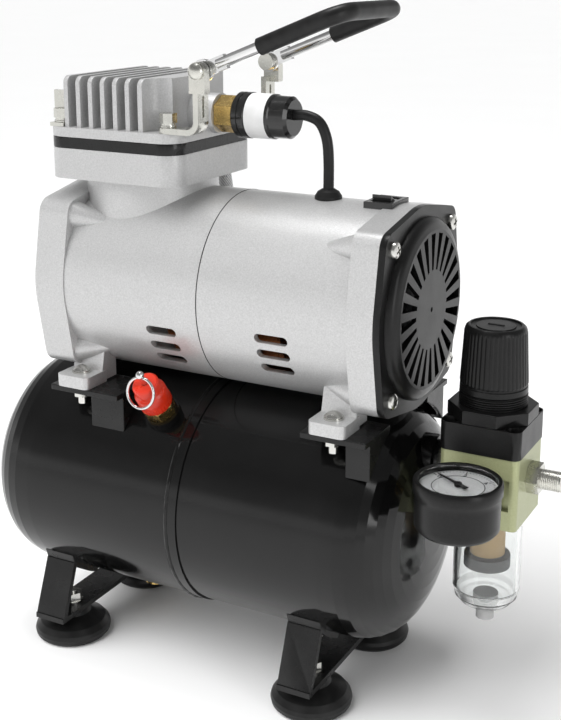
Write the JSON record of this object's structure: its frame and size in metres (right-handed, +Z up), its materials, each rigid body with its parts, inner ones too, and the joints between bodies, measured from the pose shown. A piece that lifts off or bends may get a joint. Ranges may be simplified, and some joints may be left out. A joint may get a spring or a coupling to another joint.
{
  "type": "airbrush compressor",
  "caption": "Piston air compressor on a small horizontal tank, with a filter regulator, pressure gauge, pressure switch, relief valve and folding handle.",
  "frame": {"origin": "on the bench plane, under the middle of the object's box", "axes": "+X along the tank towards the fan and the regulator, -Y towards the gauge, +Z up"},
  "size_m": [0.3165, 0.1355, 0.3591],
  "materials": {
    "tank_paint": "gloss",
    "bracket_paint": "satin",
    "soft_rubber": "matt",
    "bolt_steel": "zinc plated",
    "silver_paint": "satin",
    "black_plastic": "fine texture",
    "gloss_black": "gloss",
    "core_steel": "laminated",
    "winding_copper": "enamelled",
    "cast_aluminium": "cast",
    "cup_seal": "filled",
    "handle_chrome": "polished",
    "zinc_plate": "satin",
    "brass_fitting": "turned",
    "pale_label": "satin",
    "olive_cast": "metallic",
    "clear_bowl": "clear",
    "filter_felt": "porous",
    "dial_face": "satin",
    "needle_black": "matt",
    "relief_red": "gloss",
    "hose_braid": "braided"
  },
  "bodies": {
    "root": {"tank_left_shell": "tank_paint", "tank_right_shell": "tank_paint", "left_cradle": "bracket_paint", "right_cradle": "bracket_paint", "left_feet": "soft_rubber", "right_feet": "soft_rubber", "frame_bolts": "bolt_steel", "saddle_brackets": "bracket_paint", "front_housing": "silver_paint", "rear_housing": "silver_paint", "crankcase_cover": "silver_paint", "fan_cover": "black_plastic", "panel_screws": "bolt_steel", "stator_core": "core_steel", "stator_windings": "winding_copper", "shaft_bearings": "core_steel", "cylinder_sleeve": "core_steel", "cylinder_block": "cast_aluminium", "valve_plate": "bracket_paint", "cylinder_head": "cast_aluminium", "head_bolts": "bolt_steel", "head_brackets": "zinc_plate", "switch_adapter": "brass_fitting", "switch_body": "gloss_black", "switch_band": "pale_label", "switch_lead": "soft_rubber", "lead_grommet": "soft_rubber", "cord_gland": "black_plastic", "rocker_bezel": "gloss_black", "regulator_body": "olive_cast", "regulator_bonnet": "black_plastic", "lock_ring": "black_plastic", "regulator_nipples": "zinc_plate", "filter_bowl": "clear_bowl", "filter_element": "filter_felt", "gauge_case": "black_plastic", "gauge_dial": "dial_face", "gauge_lens": "clear_bowl", "gauge_stem": "brass_fitting", "relief_base": "brass_fitting", "relief_cap": "relief_red", "transfer_hose": "hose_braid", "hose_fittings": "brass_fitting"},
    "rotor": {"rotor_shaft": "core_steel", "rotor_core": "core_steel", "cooling_fan": "black_plastic", "eccentric": "core_steel"},
    "piston": {"piston_rod": "cast_aluminium", "piston_cup": "cup_seal"},
    "handle": {"handle_bar": "handle_chrome", "handle_sleeve": "soft_rubber"},
    "rocker": {"rocker_button": "gloss_black"},
    "spindle": {"regulator_spindle": "core_steel"},
    "knob": {"regulator_knob": "black_plastic"},
    "needle": {"gauge_needle": "needle_black"},
    "relief_pin": {"relief_stem": "handle_chrome"},
    "pull_ring": {"relief_ring": "handle_chrome"},
    "bowl_valve": {"bowl_drain": "black_plastic"},
    "tank_drain": {"drain_screw": "brass_fitting"}
  },
  "joints": [
    {"name": "rotor_spin", "type": "hinge", "parent": "root", "child": "rotor", "pos_m": [-0.0342, -0.0013, 0.21], "axis": [1, 0, 0], "continuous": true},
    {"name": "piston_stroke", "type": "slide", "parent": "root", "child": "piston", "axis": [0, 0, 1], "range_m": [-0.004, 0.004]},
    {"name": "handle_swing", "type": "hinge", "parent": "root", "child": "handle", "pos_m": [-0.0202, -0.0013, 0.3255], "axis": [0, -1, 0], "range_deg": [-20, 150]},
    {"name": "switch_rock", "type": "hinge", "parent": "root", "child": "rocker", "pos_m": [0.0638, -0.0013, 0.2602], "axis": [1, 0, 0], "range_deg": [0, 18]},
    {"name": "knob_turn", "type": "hinge", "parent": "root", "child": "spindle", "pos_m": [0.1218, 0.0017, 0.185], "axis": [0, 0, 1], "range_deg": [-720, 720]},
    {"name": "knob_lift", "type": "slide", "parent": "spindle", "child": "knob", "axis": [0, 0, 1], "range_m": [0, 0.0025]},
    {"name": "needle_turn", "type": "hinge", "parent": "root", "child": "needle", "pos_m": [0.1218, -0.0453, 0.138], "axis": [0, 0, -1], "range_deg": [0, 270], "stiffness_Nm_per_rad": 0.0005},
    {"name": "relief_pull", "type": "slide", "parent": "root", "child": "relief_pin", "axis": [0, -0.6018, 0.7986], "range_m": [0, 0.003], "stiffness_N_per_m": 500, "springref_m": -0.003},
    {"name": "ring_swing", "type": "hinge", "parent": "relief_pin", "child": "pull_ring", "pos_m": [-0.0446, -0.06032, 0.17093], "axis": [1, 0, 0], "range_deg": [-110, 0]},
    {"name": "bowl_valve_turn", "type": "hinge", "parent": "root", "child": "bowl_valve", "pos_m": [0.1218, 0.0017, 0.055], "axis": [0, 0, 1], "range_deg": [0, 90]},
    {"name": "tank_drain_turn", "type": "hinge", "parent": "root", "child": "tank_drain", "pos_m": [-0.0792, -0.0013, 0.025], "axis": [0, 0, 1], "range_deg": [0, 360]}
  ]
}
